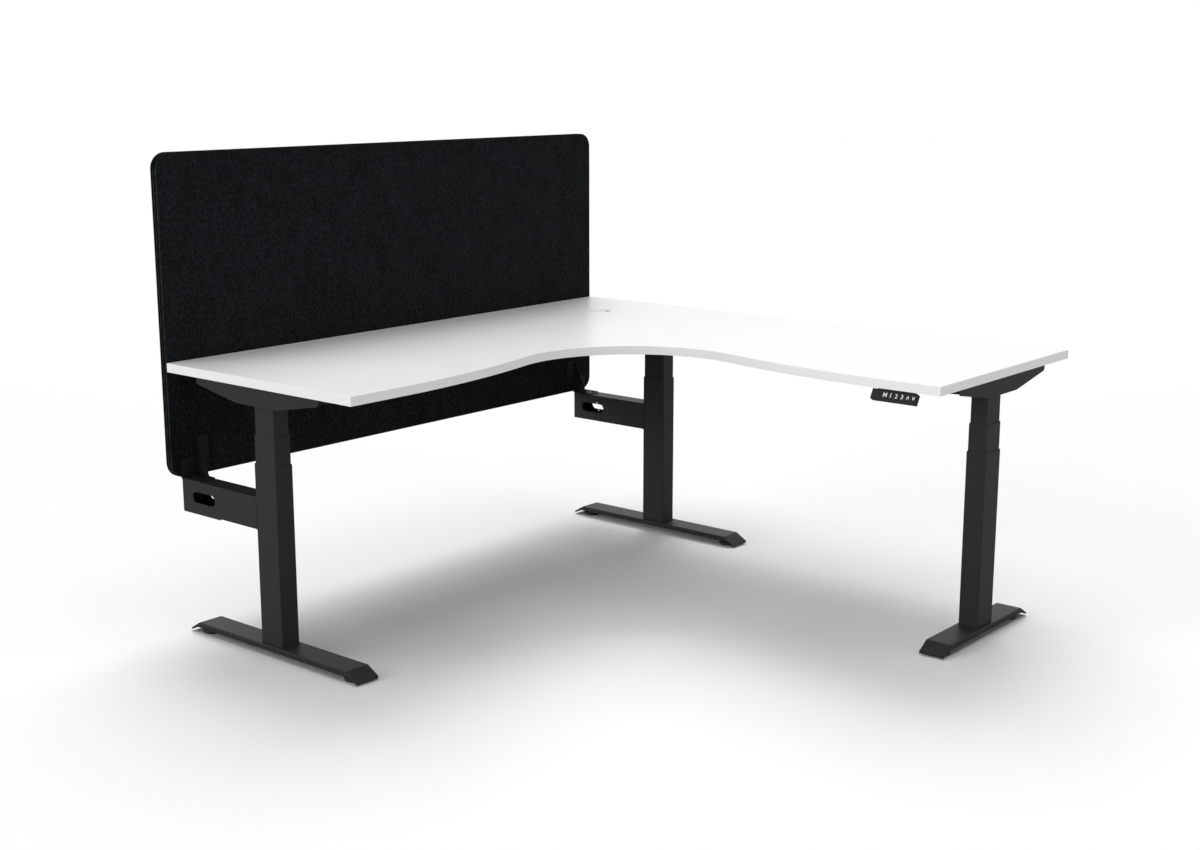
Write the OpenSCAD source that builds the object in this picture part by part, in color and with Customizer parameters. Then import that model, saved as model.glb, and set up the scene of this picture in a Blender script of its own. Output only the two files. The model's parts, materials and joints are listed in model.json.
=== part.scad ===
// Height-adjustable corner workstation, in millimetres, +Z up.
// The origin is on the floor at the centre of the whole outline. The privacy screen is along the
// back (+Y), the return arm of the worktop runs forward (-Y) at the right-hand end (+X).

/* [Worktop] */
// Width along the screen
top_w = 1800; // [1700:10:2000]
// Length from the back edge to the end of the return arm
top_l = 1800; // [1700:10:2000]
// Depth of both arms
arm_depth = 750; // [720:5:800]
// Thickness of the board
top_t = 25; // [22:1:30]
// Height of the top surface above the floor, as stored
top_h = 775; // [760:1:800]
// Radius of the round bay where the user sits
bay_r = 335; // [300:5:370]
// How far the bay cuts in behind the straight front edges
bay_dip = 75; // [55:5:90]
// Radius of the long sweep from the bay to a straight edge
sweep_r = 2150; // [1900:50:2300]
// Thickness of the edge band
band_t = 2; // [1:0.5:3]

/* [Cable port] */
// Diameter of the port's rim
port_d = 80; // [70:1:90]
// Distance of the port's centre from the back edge and from the outer edge
port_inset = 256; // [250:1:300]
// Width of the cable slot in the lid
port_slot_w = 24; // [16:1:28]

/* [Legs] */
// Distance of each leg's centre from the end of the worktop
leg_inset = 65; // [60:1:80]
// Distance of the two screen-side legs from the back edge
back_leg_inset = 360; // [350:1:380]
// Distance of the return leg from the outer edge
side_leg_inset = 370; // [350:1:380]
// Long side of the outer tube
column_w = 88; // [84:1:94]
// Short side of the outer tube
column_d = 59; // [59:1:62]
// Wall thickness of the three tubes
tube_t = 1.5; // [1.2:0.1:1.6]
// Gap between one tube and the next
stage_gap = 0.8; // [0.8:0.1:1]
// Length of the middle and of the inner tube that shows, as stored
stage_show = 79; // [79:1:84]
// Travel of the worktop upwards from the stored height
lift_up = 500; // [440:10:500]
// Travel of the worktop downwards from the stored height
lift_down = 150; // [110:5:150]
// Overlap of the middle and outer tubes at full height
stage_overlap = 150; // [130:1:160]

/* [Feet] */
// Length of the two long feet
foot_l = 700; // [600:5:730]
// Length of the return foot
return_foot_l = 500; // [450:5:600]
// Width of a foot
foot_w = 77; // [76:1:90]
// Height of a foot's top face above the floor
foot_h = 33.5; // [33:0.5:36]
// Sheet thickness of a foot
foot_t = 4; // [3:0.5:5]
// Height of the folded side flange
flange_h = 15.5; // [12:0.5:17]
// Horizontal run of the sloped flap at each end
flap_run = 41; // [35:1:50]
// Fall of the sloped flap
flap_drop = 25; // [20:1:26]
// Diameter of a levelling glide
glide_d = 56; // [44:1:60]

/* [Top frame] */
// Length of a side bracket
bracket_l = 503; // [480:1:520]
// Width of a side bracket
bracket_w = 76; // [74:1:80]
// Depth of a side bracket at the column
bracket_h = 57; // [57:1:62]
// Depth of a side bracket at its ends
bracket_end_h = 25; // [20:1:30]
// Length of a side bracket's straight lower edge
bracket_flat = 160; // [150:5:180]
// Distance of a side bracket's rear end from the worktop's edge
bracket_edge_gap = 92.5; // [85:0.5:100]
// Sheet thickness of the brackets
bracket_t = 3; // [2.5:0.5:3]
// Width of a rail
rail_w = 25; // [20:1:30]
// Height of a rail
rail_h = 40; // [30:1:44]
// Wall of a rail
rail_t = 2; // [1.5:0.1:3]
// Distance between the two rails of a pair
rail_pitch = 100; // [90:1:105]

/* [Screen] */
// How far the screen stands past each end of the worktop
screen_past = 0; // [-20:5:60]
// Height of the screen
screen_h = 900; // [700:10:1000]
// Thickness of each of the two felt plies
ply_t = 12; // [9:1:14]
// Corner radius of the screen
screen_r = 45; // [25:1:60]
// Height of the screen's lower edge above the floor
screen_z = 445; // [400:5:470]
// Gap between the worktop's back edge and the screen
screen_gap = 4; // [3:1:8]

/* [Screen arms] */
// Height of an arm
arm_h = 90; // [86:1:100]
// Wall thickness of an arm
arm_t = 2; // [1.5:0.5:3]
// Length of the oblong cable slot
slot_l = 98; // [80:1:110]
// Height of the oblong cable slot
slot_h = 31; // [26:1:33]
// Distance of the slot's centre from the screen's face
slot_back = 92; // [84:1:100]
// Pitch of the four accessory holes round the slot
hole_pitch = 40; // [40:1:44]
// Diameter of the accessory holes
hole_d = 4.5; // [3:0.1:5]

/* [Screen brackets] */
// Height of the tall flange above the arm
tall_h = 112; // [100:1:120]
// Width of the tall flange
tall_w = 40; // [36:1:44]
// Height of the low tab
tab_h = 53; // [45:1:60]
// Length of the base plate
plate_l = 84; // [84:1:96]
// Thickness of the bracket's sheet
plate_t = 3; // [2.5:0.5:4]

/* [Handset] */
// Length of the handset
handset_l = 132; // [124:1:150]
// Distance of the handset from the end of the return arm
handset_inset = 68; // [40:1:100]
// Height of the handset's face, measured along its slope
handset_face = 28.7; // [26:0.1:32]
// Thickness of the handset behind its face
handset_t = 16.8; // [14:0.1:18]
// Lean of the face back from upright
handset_lean = 30; // [24:1:36]
// How far the face's upper edge stands back under the board
handset_in = 4; // [0:0.5:6]
// Pitch of the six keys
key_pitch = 16.7; // [16:0.1:18]
// Width of a key
key_w = 12; // [9:0.5:12]
// Travel of a key
key_travel = 0.6; // [0.4:0.1:1]

/* [Hidden] */

// True curves
$fn = 96;
// Clearance between pieces that slide or turn on each other
slip = 0.3;
// Clearance of a fastener in its hole
play = 0.1;
// Amount by which a cutting tool passes a face
over = 1;

// Plan positions. The screen's back face is the rearmost face of the whole outline.
screen_t = 2 * ply_t;
screen_w = top_w + 2 * screen_past;
total_l = top_l + screen_gap + screen_t;
front_y = -total_l / 2;
back_y = front_y + top_l;
screen_y = back_y + screen_gap;
end_x = top_w / 2;
leg_x = end_x - leg_inset;
back_leg_y = back_y - back_leg_inset;
side_leg_x = end_x - side_leg_inset;
side_leg_y = front_y + leg_inset;
port_x = end_x - port_inset;
port_y = back_y - port_inset;

// Straight front edges of the two arms, and the centre line of the bay on the diagonal between them
edge_y = back_y - arm_depth;
edge_x = end_x - arm_depth;
bay_x = edge_x + bay_dip - bay_r;
bay_y = edge_y + bay_dip - bay_r;

// Heights. The outer tube ends where two stages' shown lengths hang below the bracket.
under_z = top_h - top_t;
bracket_z = under_z - bracket_h;
middle_top = bracket_z - stage_show;
outer_top = middle_top - stage_show;
base_t = 4;
base_z = foot_h + base_t;
arm_top = screen_z - plate_t;
arm_z = arm_top - arm_h;

// Nested tubes: every stage is narrower by two walls and two gaps
stage_step = 2 * (tube_t + stage_gap);
middle_w = column_w - stage_step;
middle_d = column_d - stage_step;
inner_w = middle_w - stage_step;
inner_d = middle_d - stage_step;
tube_r = 3.5;
lip_t = 1.6;
guide_l = 40;
pad_t = stage_gap - slip;
push_plate_t = 6;
middle_z = outer_top - stage_overlap - lift_up / 2;
inner_z = middle_z + lift_down / 2 + push_plate_t + 4;

// Lifting screws, from the middle outwards: drive screw, stage screw, base pipe, push tube
drive_d = 14;
stage_d = 24;
stage_bore = 16;
pipe_d = 34;
pipe_bore = 28;
push_d = 42;
push_bore = 36;
nut_h = 28;
cap_h = 20;
stage_z = base_z + lift_down / 2 + 3;
nut_z = stage_z + lift_up / 2;
cap_z = nut_z + nut_h + lift_down / 2 + 2;
drive_z = cap_z - lift_up / 2;

// Gearbox between the inner tube's head plate and the bracket's top plate
head_t = 4;
gear_h = 42;
gear_w = bracket_w - 2 * bracket_t - 4;
gear_head_r = 5;
gear_head_h = 4;
gear_l = inner_w + 4 * gear_head_r + 2;
gear_z = under_z - bracket_t - gear_h;
head_z = gear_z - head_t;
drive_in = 17;
motor_d = 40;
motor_l = 98;
gear_bolt_x = gear_w / 2 - 9;
gear_bolt_y = gear_l / 2 - gear_head_r;

// Fasteners
foot_bolt_r = 4;
foot_bolt_x = 20;
foot_bolt_y = 32;
gear_bolt_r = 3;
wood_screw_r = 2;
wood_screw_l = 16;
screw_head_r = 4;
screw_head_h = 2.5;
bracket_bolt_r = 3;

// Feet: the side flanges end in the thickness of the flap, welded to it
flange_in = 2.8;
tip_r = 6;
glide_stem_r = 5;
glide_in = 10;
glide_block = 20;
glide_block_h = 10;
glide_rim_h = 8;
glide_disc_h = 10;
glide_top_gap = 1;

// Rails sit between the side brackets, forward of the brackets' middle
rail_shift = -20;
bracket_mid = bracket_edge_gap + bracket_l / 2;
rail_front = rail_shift - rail_pitch / 2;
rail_back = rail_shift + rail_pitch / 2;
bracket_in_x = leg_x - bracket_w / 2;

// Screen arm, in the leg's own frame with +Y towards the screen
leg_to_screen = screen_y - back_leg_y;
arm_start = column_w / 2;
cap_t = 5;
cap_back = 7;
arm_end = leg_to_screen - cap_back - cap_t;
slot_y = leg_to_screen - slot_back;
slot_z = arm_z + arm_h / 2;
cover_t = 3;
cover_past = 12;
cover_l = 175;
cover_drop = 3.5;
cover_r = 15;
cover_w = 37;
plate_cut = 16;
web_x = column_d / 2 - 8.5;
web_l = 54;
web_top_l = 8;
tall_from = 14;
tab_past = 4;
screen_screw_in = 7;
screen_screw_edge = 7;

// Handset, measured from the return arm's straight edge
handset_gap = 2;
face_mid_x = edge_x + handset_in - handset_face / 2 * sin(handset_lean);
face_mid_z = under_z - handset_gap - handset_face / 2 * cos(handset_lean);
handset_y = front_y + handset_inset;
handset_floor = 5;
handset_ear = 55;
handset_ear_in = 12;
handset_screw_x = 40;
handset_screw_in = 24;
key_l = 18;
key_t = 3;
key_proud = 0.3;
first_key = 7.4;

// Rounded rectangle built from squares and true circles
module rounded(w, d, r) {
    square([w - 2 * r, d], center = true);
    square([w, d - 2 * r], center = true);
    for (sx = [-1, 1], sy = [-1, 1])
        translate([sx * (w / 2 - r), sy * (d / 2 - r)])
            circle(r);
}

// Rectangular ring in plan, with its outer size, wall and corner radii
module ring(w, d, wall, r) {
    inner_r = max(r - wall, 0.8);
    difference() {
        rounded(w, d, r);
        rounded(w - 2 * wall, d - 2 * wall, inner_r);
    }
}

// Places of the three legs. The corner leg mirrors the left one, the return leg is turned.
module at_left() {
    translate([-leg_x, back_leg_y, 0])
        children();
}

module at_corner() {
    translate([leg_x, back_leg_y, 0])
        mirror([1, 0, 0])
            children();
}

module at_return() {
    translate([side_leg_x, side_leg_y, 0])
        rotate([0, 0, -90])
            children();
}

// Distance from a leg's centre to the middle of its side bracket
back_shift = back_leg_inset - bracket_mid;
side_shift = side_leg_inset - bracket_mid;

// Half of the user's space in front of the worktop, as far as the sweep's end
module sweep_side(inset, cx, cy, line, reach) {
    r1 = bay_r + inset;
    r2 = sweep_r - inset;
    far_y = line + inset + r2;
    dx = sqrt((r1 + r2) * (r1 + r2) - (far_y - cy) * (far_y - cy));
    far_x = cx - dx;
    tx = cx - dx * r1 / (r1 + r2);
    ty = cy + (far_y - cy) * r1 / (r1 + r2);
    difference() {
        translate([-reach, -reach])
            square([reach + tx, reach + ty]);
        translate([far_x, far_y])
            circle(r2, $fn = 720);
        translate([-reach - over, line + inset])
            square([reach + over + far_x, ty]);
    }
}

// Outline of the board, drawn in by the inset on every side
module board_outline(inset) {
    reach = top_w + top_l;
    difference() {
        translate([-end_x + inset, front_y + inset])
            square([top_w - 2 * inset, top_l - 2 * inset]);
        translate([bay_x, bay_y])
            circle(bay_r + inset, $fn = 240);
        sweep_side(inset, bay_x, bay_y, edge_y, reach);
        mirror([1, -1])
            sweep_side(inset, bay_y, bay_x, edge_x, reach);
    }
}

// Wood screw positions on a side bracket's top plate, from the bracket's middle
bracket_screw_x = 22;
bracket_screw_end = bracket_l / 2 - 31;
bracket_screw_front = bracket_flat / 2 + 40;
bracket_screw_back = bracket_flat / 2 + 70;
bracket_screw_rows = [
    -bracket_screw_end, -bracket_screw_front, bracket_screw_back, bracket_screw_end
];
bracket_screw_at = [
    for (y = bracket_screw_rows) for (x = [-bracket_screw_x, bracket_screw_x]) [x, y]
];

// Children at the wood screws under the worktop, pointing up from the board's underside
module at_bracket_screws() {
    for (p = bracket_screw_at) {
        at_left()
            translate([p[0], p[1] + back_shift, under_z])
                children();
        at_corner()
            translate([p[0], p[1] + back_shift, under_z])
                children();
        at_return()
            translate([p[0], p[1] + side_shift, under_z])
                children();
    }
}

module at_box_screws() {
    for (sx = [-1, 1], sy = [-1, 1])
        translate([sx * box_ear_x, box_y + sy * box_ear_y, under_z])
            children();
}

module at_handset_screws() {
    for (y = [handset_screw_in, handset_l - handset_screw_in])
        translate([edge_x + handset_screw_x, handset_y + y, under_z])
            children();
}

module screw_pilot() {
    translate([0, 0, -over])
        cylinder(r = wood_screw_r + play, h = wood_screw_l + over, $fn = 24);
}

// Worktop board without its edge band
module worktop() {
    color("white")
        difference() {
            translate([0, 0, under_z])
                linear_extrude(top_t)
                    board_outline(band_t);
            translate([port_x, port_y, under_z - over])
                cylinder(r = port_hole_r, h = top_t + 2 * over);
            translate([port_x, port_y, top_h - rim_t])
                cylinder(r = port_d / 2 + play, h = rim_t + over);
            at_bracket_screws()
                screw_pilot();
            at_box_screws()
                screw_pilot();
            at_handset_screws()
                screw_pilot();
        }
}

module edge_band() {
    color("gainsboro")
        translate([0, 0, under_z])
            linear_extrude(top_t)
                difference() {
                    board_outline(0);
                    board_outline(band_t);
                }
}

// Cable port: a rim let in flush, with a sleeve through the board, and a lid that turns in it
rim_t = 1.5;
rim_w = 3;
lid_t = 3.5;
port_hole_r = port_d / 2 - rim_w;
sleeve_r = port_hole_r - play;
sleeve_short = 2;
lid_r = port_hole_r - 3;
ledge_w = 3;
lid_slot_from = 0.62;
lid_turn = -65;

module port_ring() {
    color("whitesmoke")
        translate([port_x, port_y, 0])
            difference() {
                union() {
                    translate([0, 0, top_h - rim_t])
                        cylinder(r = port_d / 2, h = rim_t);
                    translate([0, 0, under_z + sleeve_short])
                        cylinder(r = sleeve_r, h = top_t - sleeve_short - rim_t);
                }
                translate([0, 0, under_z])
                    cylinder(r = lid_r - ledge_w, h = top_t + over);
                translate([0, 0, top_h - lid_t - slip])
                    cylinder(r = lid_r + slip, h = lid_t + slip + over);
            }
}

module port_lid() {
    color("white")
        translate([port_x, port_y, top_h - lid_t])
            difference() {
                cylinder(r = lid_r, h = lid_t);
                rotate([0, 0, lid_turn])
                    translate([lid_r * lid_slot_from, -port_slot_w / 2, -over])
                        cube([lid_r, port_slot_w, lid_t + 2 * over]);
            }
}

// Folded sheet foot, in its leg's frame, long side along Y
module foot(len) {
    fold = len / 2 - flap_run;
    tip_z = foot_h - flap_drop;
    flange_top = fold + flange_in;
    flange_low = flange_top + (flange_h - foot_t) * flap_run / flap_drop;
    color("#2b2b2d")
        difference() {
            union() {
                intersection() {
                    translate([foot_w / 2, 0, 0])
                        rotate([0, -90, 0])
                            linear_extrude(foot_w)
                                polygon([
                                    [foot_h, -fold], [foot_h, fold], [tip_z, len / 2],
                                    [tip_z - foot_t, len / 2 - 1], [foot_h - foot_t, fold - 1],
                                    [foot_h - foot_t, -fold + 1], [tip_z - foot_t, -len / 2 + 1],
                                    [tip_z, -len / 2]
                                ]);
                    linear_extrude(foot_h + over)
                        rounded(foot_w, len, tip_r);
                }
                for (s = [-1, 1])
                    translate([s * (foot_w - foot_t) / 2 + foot_t / 2, 0, 0])
                        rotate([0, -90, 0])
                            linear_extrude(foot_t)
                                polygon([
                                    [foot_h - foot_t, -flange_top], [foot_h - foot_t, flange_top],
                                    [foot_h - flange_h, flange_low], [foot_h - flange_h, -flange_low]
                                ]);
                for (s = [-1, 1])
                    translate([0, s * (fold - glide_in), foot_h - foot_t - glide_block_h / 2])
                        cube([glide_block, glide_block, glide_block_h], center = true);
            }
            for (s = [-1, 1])
                translate([0, s * (fold - glide_in), 0])
                    cylinder(r = glide_stem_r + slip, h = foot_h - foot_t);
            for (sx = [-1, 1], sy = [-1, 1])
                translate([sx * foot_bolt_x, sy * foot_bolt_y, 0])
                    cylinder(r = foot_bolt_r + 0.5, h = foot_h + over);
        }
}

// Screw-in glide under one end of a foot; side is +1 for the end towards local +Y
module glide(len, side) {
    r = glide_d / 2;
    boss_r = r - 10;
    stem_top = foot_h - foot_t - glide_top_gap;
    boss_top = foot_h - foot_t - glide_block_h - 3;
    color("#1c1c1c")
        translate([0, side * (len / 2 - flap_run - glide_in), 0])
            rotate_extrude()
                polygon([
                    [0, 0], [r - 1.5, 0], [r, 1.5], [r, glide_rim_h],
                    [r - 2, glide_disc_h], [boss_r, glide_disc_h], [boss_r - 1, boss_top],
                    [glide_stem_r, boss_top], [glide_stem_r, stem_top], [0, stem_top]
                ]);
}

// Outer tube with its welded bottom plate
module outer_tube() {
    color("#2d2d30")
        difference() {
            union() {
                translate([0, 0, foot_h])
                    linear_extrude(outer_top - lip_t - foot_h)
                        rotate(90)
                            ring(column_w, column_d, tube_t, tube_r);
                translate([0, 0, foot_h])
                    linear_extrude(base_t)
                        rotate(90)
                            rounded(column_w - tube_t, column_d - tube_t, tube_r - tube_t / 2);
            }
            for (sx = [-1, 1], sy = [-1, 1])
                translate([sx * foot_bolt_x, sy * foot_bolt_y, foot_h - over])
                    cylinder(r = foot_bolt_r + play, h = base_t + 2 * over);
        }
}

// Guide at the mouth of a tube: pads inside the wall and a lip on the tube's end
module mouth_guide(w, d, top) {
    color("#141414") {
        translate([0, 0, top - lip_t - guide_l])
            linear_extrude(guide_l)
                rotate(90)
                    ring(w - 2 * tube_t, d - 2 * tube_t, pad_t, tube_r - tube_t);
        translate([0, 0, top - lip_t])
            linear_extrude(lip_t)
                rotate(90)
                    ring(w - 0.6, d - 0.6, tube_t + pad_t - 0.3, tube_r);
    }
}

// Guide pads round the foot of a sliding tube
module tail_guide(w, d, bottom) {
    color("#141414")
        translate([0, 0, bottom])
            linear_extrude(guide_l)
                rotate(90)
                    ring(w + 2 * pad_t, d + 2 * pad_t, pad_t, tube_r + pad_t);
}

module middle_tube() {
    color("#303033")
        translate([0, 0, middle_z])
            linear_extrude(middle_top - lip_t - middle_z)
                rotate(90)
                    ring(middle_w, middle_d, tube_t, tube_r);
}

module middle_guides() {
    mouth_guide(middle_w, middle_d, middle_top);
    tail_guide(middle_w, middle_d, middle_z);
}

// Inner tube with the head plate that carries the gearbox
module inner_tube() {
    color("#333336")
        difference() {
            union() {
                translate([0, 0, inner_z])
                    linear_extrude(head_z - inner_z)
                        rotate(90)
                            ring(inner_w, inner_d, tube_t, tube_r);
                translate([0, 0, head_z + head_t / 2])
                    cube([gear_w, gear_l, head_t], center = true);
            }
            translate([0, 0, head_z - over])
                cylinder(r = drive_d / 2 + 2, h = head_t + 2 * over);
            at_gear_bolts()
                translate([0, 0, head_z - over])
                    cylinder(r = gear_bolt_r + play, h = head_t + 2 * over, $fn = 32);
        }
}

// Fixed pipe on the outer tube's bottom plate, with the base nut on its top
module base_pipe() {
    color("silver")
        translate([0, 0, base_z])
            difference() {
                cylinder(d = pipe_d, h = nut_z - base_z);
                translate([0, 0, -over])
                    cylinder(d = pipe_bore, h = nut_z - base_z + 2 * over);
            }
    color("goldenrod")
        translate([0, 0, nut_z])
            difference() {
                cylinder(d = pipe_d, h = nut_h);
                translate([0, 0, -over])
                    cylinder(d = stage_d + 2 * slip, h = nut_h + 2 * over);
            }
}

// Hollow screw of the middle stage, held at its top by the push tube's cap
module stage_screw() {
    color("darkgray")
        translate([0, 0, stage_z])
            difference() {
                cylinder(d = stage_d, h = cap_z - stage_z);
                translate([0, 0, -over])
                    cylinder(d = stage_bore, h = cap_z - stage_z + 2 * over);
            }
    color("silver") {
        translate([0, 0, middle_z])
            linear_extrude(push_plate_t)
                difference() {
                    rotate(90)
                        rounded(middle_w - 2 * tube_t, middle_d - 2 * tube_t, tube_r - tube_t);
                    circle(d = push_bore);
                }
        translate([0, 0, middle_z + push_plate_t])
            difference() {
                cylinder(d = push_d, h = cap_z + cap_h - middle_z - push_plate_t);
                translate([0, 0, -over])
                    cylinder(d = push_bore, h = cap_z - middle_z - push_plate_t + over);
                cylinder(d = drive_d + 2 * slip, h = cap_z + cap_h);
            }
    }
}

module drive_screw() {
    color("lightgray")
        translate([0, 0, drive_z])
            cylinder(d = drive_d, h = gear_z + drive_in - drive_z);
}

// Children at the four bolts that run up through a gearbox from its head plate
module at_gear_bolts() {
    for (sx = [-1, 1], sy = [-1, 1])
        translate([sx * gear_bolt_x, sy * gear_bolt_y, 0])
            children();
}

// Gearbox on the head plate, with its motor lying inside the side bracket
module gear_motor() {
    color("#8a8c8e")
        difference() {
            translate([0, 0, gear_z + gear_h / 2])
                cube([gear_w, gear_l, gear_h], center = true);
            translate([0, 0, gear_z - over])
                cylinder(d = drive_d + 2 * slip, h = drive_in + slip + over);
            at_gear_bolts()
                translate([0, 0, gear_z - over])
                    cylinder(r = gear_bolt_r + play, h = gear_h + 2 * over, $fn = 32);
        }
    color("#3a3a3c")
        translate([0, gear_l / 2, gear_z + gear_h / 2])
            rotate([-90, 0, 0])
                cylinder(d = motor_d, h = motor_l);
}

// Folded channel under the worktop, open below and at its ends
module side_bracket(shift) {
    half = bracket_l / 2;
    flat = bracket_flat / 2;
    nose = 5;
    color("#2f2f32")
        translate([0, shift, 0])
            difference() {
                translate([bracket_w / 2, 0, 0])
                    rotate([0, -90, 0])
                        linear_extrude(bracket_w)
                            polygon([
                                [under_z, -half], [under_z, half],
                                [under_z - bracket_end_h + nose, half],
                                [under_z - bracket_end_h - 1, half - nose],
                                [bracket_z, flat], [bracket_z, -flat],
                                [under_z - bracket_end_h - 1, -half + nose],
                                [under_z - bracket_end_h + nose, -half]
                            ]);
                translate([0, 0, under_z - bracket_t - bracket_h / 2])
                    cube([bracket_w - 2 * bracket_t, bracket_l + 2 * over, bracket_h],
                         center = true);
                for (p = bracket_screw_at)
                    translate([p[0], p[1], under_z - bracket_t - over])
                        cylinder(r = wood_screw_r + slip, h = bracket_t + 2 * over, $fn = 24);
                translate([0, -shift, under_z - bracket_t - over])
                    at_gear_bolts()
                        cylinder(r = gear_bolt_r + slip, h = bracket_t + 2 * over, $fn = 32);
            }
}

// One hollow rail lying along X with its first end at the origin
module rail(len) {
    difference() {
        translate([0, -rail_w / 2, under_z - rail_h])
            cube([len, rail_w, rail_h]);
        translate([-over, rail_t - rail_w / 2, under_z - rail_h + rail_t])
            cube([len + 2 * over, rail_w - 2 * rail_t, rail_h - 2 * rail_t]);
    }
}

rear_y = back_y - bracket_mid;
side_x = end_x - bracket_mid;

module under_rails() {
    side_start = side_leg_y + bracket_w / 2;
    side_len = rear_y + rail_front - rail_w / 2 - side_start;
    color("#2f2f32") {
        for (s = [rail_front, rail_back])
            translate([-bracket_in_x, rear_y + s, 0])
                rail(2 * bracket_in_x);
        for (s = [rail_front, rail_back])
            translate([side_x + s, side_start, 0])
                rotate([0, 0, 90])
                    rail(side_len);
    }
}

// Controller casing under the rear half of the worktop, open towards the board
box_w = 250;
box_d = 104;
box_h = 38;
box_wall = 2.5;
box_gap = 40;
box_y = rear_y + rail_back + rail_w / 2 + box_gap + box_d / 2;
box_ear_x = box_w / 2 + 8;
box_ear_y = box_d / 2 - 14;

board_gap = 5;
socket_in = 10;
socket_out = 3;
socket_z = under_z - box_h / 2 - 2;
// Distance along the wall, width and height of each socket; the first is the mains inlet
sockets = [[-90, 30, 22], [-40, 18, 14], [-10, 18, 14], [20, 18, 14], [60, 14, 12]];

// Blocks in the places of the sockets, with a margin round each
module sockets_solid(margin) {
    for (s = sockets)
        translate([s[0], box_y - box_d / 2 + (socket_in - socket_out) / 2, socket_z])
            cube([s[1] + 2 * margin, socket_in + socket_out, s[2] + 2 * margin], center = true);
}

module control_box() {
    color("#1b1b1d")
        difference() {
            union() {
                translate([0, box_y, under_z - box_h / 2])
                    cube([box_w, box_d, box_h], center = true);
                for (sx = [-1, 1], sy = [-1, 1])
                    translate([sx * box_ear_x, box_y + sy * box_ear_y, under_z - box_wall / 2])
                        cube([18, 16, box_wall], center = true);
            }
            translate([0, box_y, under_z - box_h / 2 + box_wall])
                cube([box_w - 2 * box_wall, box_d - 2 * box_wall, box_h], center = true);
            at_box_screws()
                translate([0, 0, -box_wall - over])
                    cylinder(r = wood_screw_r + slip, h = box_wall + 2 * over, $fn = 24);
            sockets_solid(play);
        }
}

// Circuit board on four posts, with the mains inlet and the sockets for motors and handset
module control_sockets() {
    floor_z = under_z - box_h + box_wall;
    board_w = box_w - 2 * box_wall - 10;
    board_d = box_d - 2 * box_wall - 2 * socket_in;
    color("#0f0f10")
        difference() {
            sockets_solid(0);
            translate([0, -socket_out, 0])
                sockets_solid(-2.5);
        }
    color("darkgreen") {
        translate([-board_w / 2, box_y - board_d / 2, floor_z + board_gap])
            cube([board_w, board_d, 1.6]);
        for (sx = [-1, 1], sy = [-1, 1])
            translate([sx * (board_w / 2 - 6), box_y + sy * (board_d / 2 - 6), floor_z])
                cylinder(r = 3, h = board_gap, $fn = 32);
    }
}

// Wood screws under the board, and bolts through head plates, gearboxes and brackets
module top_fasteners() {
    color("dimgray") {
        at_bracket_screws()
            wood_screw(bracket_t);
        at_box_screws()
            wood_screw(box_wall);
        at_handset_screws()
            wood_screw(handset_floor);
        at_left()
            gear_bolts();
        at_corner()
            gear_bolts();
        at_return()
            gear_bolts();
    }
}

// Wood screw driven up through a sheet of the given thickness below the board
module wood_screw(sheet) {
    translate([0, 0, -sheet])
        cylinder(r = wood_screw_r, h = sheet + wood_screw_l - 1, $fn = 24);
    translate([0, 0, -sheet - screw_head_h])
        cylinder(r = screw_head_r, h = screw_head_h, $fn = 32);
}

module gear_bolts() {
    at_gear_bolts() {
        translate([0, 0, head_z])
            cylinder(r = gear_bolt_r, h = under_z - head_z, $fn = 32);
        translate([0, 0, head_z - gear_head_h])
            cylinder(r = gear_head_r, h = gear_head_h, $fn = 6);
    }
}

module foot_bolts() {
    color("dimgray")
        for (sx = [-1, 1], sy = [-1, 1])
            translate([sx * foot_bolt_x, sy * foot_bolt_y, 0]) {
                translate([0, 0, foot_h - foot_t])
                    cylinder(r = foot_bolt_r, h = foot_t + base_t, $fn = 32);
                translate([0, 0, foot_h - foot_t - 5])
                    cylinder(r = 7, h = 5, $fn = 6);
            }
}

// Cantilever arm from the outer tube to the screen, with its end cap and outer cover
module screen_arm() {
    color("#333335") {
        difference() {
            translate([-column_d / 2, arm_start, arm_z])
                cube([column_d, arm_end - arm_start, arm_h]);
            translate([-column_d / 2 + arm_t, arm_start - over, arm_z + arm_t])
                cube([column_d - 2 * arm_t, arm_end - arm_start + 2 * over, arm_h - 2 * arm_t]);
            translate([-column_d, slot_y, slot_z])
                rotate([0, 90, 0])
                    linear_extrude(2 * column_d)
                        oblong(slot_h, slot_l);
            for (sy = [-1, 1], sz = [-1, 1])
                translate([-column_d, slot_y + sy * hole_pitch / 2, slot_z + sz * hole_pitch / 2])
                    rotate([0, 90, 0])
                        cylinder(d = hole_d, h = 2 * column_d, $fn = 32);
            at_plate_bolts()
                translate([0, 0, -arm_t - over])
                    cylinder(r = bracket_bolt_r + slip, h = arm_t + 2 * over, $fn = 32);
        }
        translate([-column_d / 2, arm_end, arm_z])
            cube([column_d, cap_t, arm_h]);
        arm_cover();
    }
}

// Outer cover of an arm, which hangs a little below it and wraps round its end
module arm_cover() {
    cover_end = leg_to_screen + cover_past;
    translate([-column_d / 2, cover_end - cover_l, arm_z - cover_drop])
        cube([cover_t, cover_l - cover_r, cover_drop + over]);
    translate([-column_d / 2, arm_end + cap_t - over, arm_z - cover_drop])
        cube([cover_t, cover_end - cover_r - arm_end - cap_t + over, arm_h + cover_drop]);
    translate([cover_r - column_d / 2, cover_end - cover_r, arm_z - cover_drop])
        linear_extrude(arm_h + cover_drop)
            difference() {
                intersection() {
                    circle(cover_r);
                    translate([-cover_r, 0])
                        square(cover_r);
                }
                circle(cover_r - cover_t);
            }
    translate([cover_r - column_d / 2, cover_end - cover_t, arm_z - cover_drop])
        cube([cover_w - cover_r, cover_t, arm_h + cover_drop]);
}

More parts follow.
